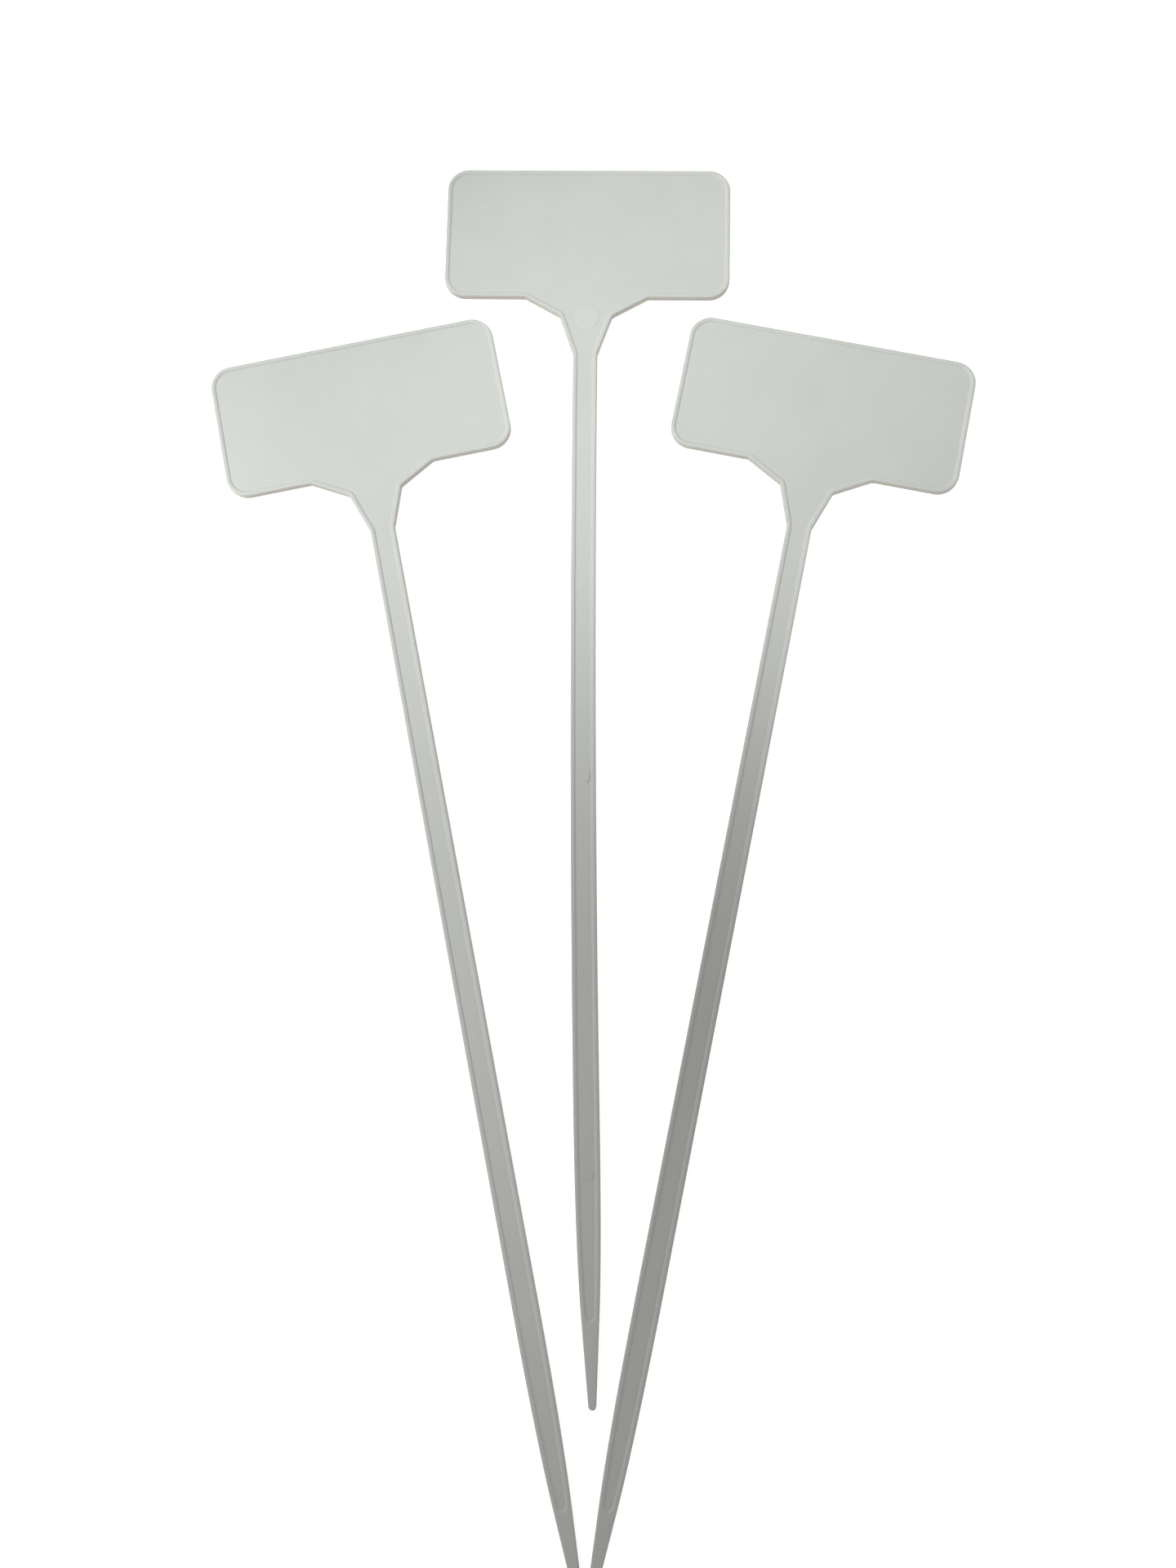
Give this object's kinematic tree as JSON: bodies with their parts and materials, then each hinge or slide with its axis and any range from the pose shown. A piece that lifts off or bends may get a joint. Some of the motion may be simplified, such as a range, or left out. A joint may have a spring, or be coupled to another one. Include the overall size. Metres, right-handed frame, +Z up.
{
  "type": "plant label stake set",
  "caption": "Flat T-shaped plastic plant labels with a rimmed writing plate, a two-step neck and a long grooved shank that tapers to a point, laid out as a fan.",
  "frame": {"origin": "middle of the set's footprint, on the surface that the stakes lie on", "axes": "+Z up, out of the written faces; +Y from the points towards the middle plate; +X to the right as the plates are read"},
  "size_m": [0.159, 0.2848, 0.0016],
  "materials": {
    "moulded_polypropylene": "fine matte, as moulded"
  },
  "bodies": {
    "middle": {"middle_stake": "moulded_polypropylene"},
    "left": {"left_stake": "moulded_polypropylene"},
    "right": {"right_stake": "moulded_polypropylene"}
  },
  "joints": [
    {"name": "left_lift", "type": "slide", "parent": "middle", "child": "left", "axis": [0, 0, 1], "range_m": [0, 0.06]},
    {"name": "right_lift", "type": "slide", "parent": "middle", "child": "right", "axis": [0, 0, 1], "range_m": [0, 0.06]}
  ]
}
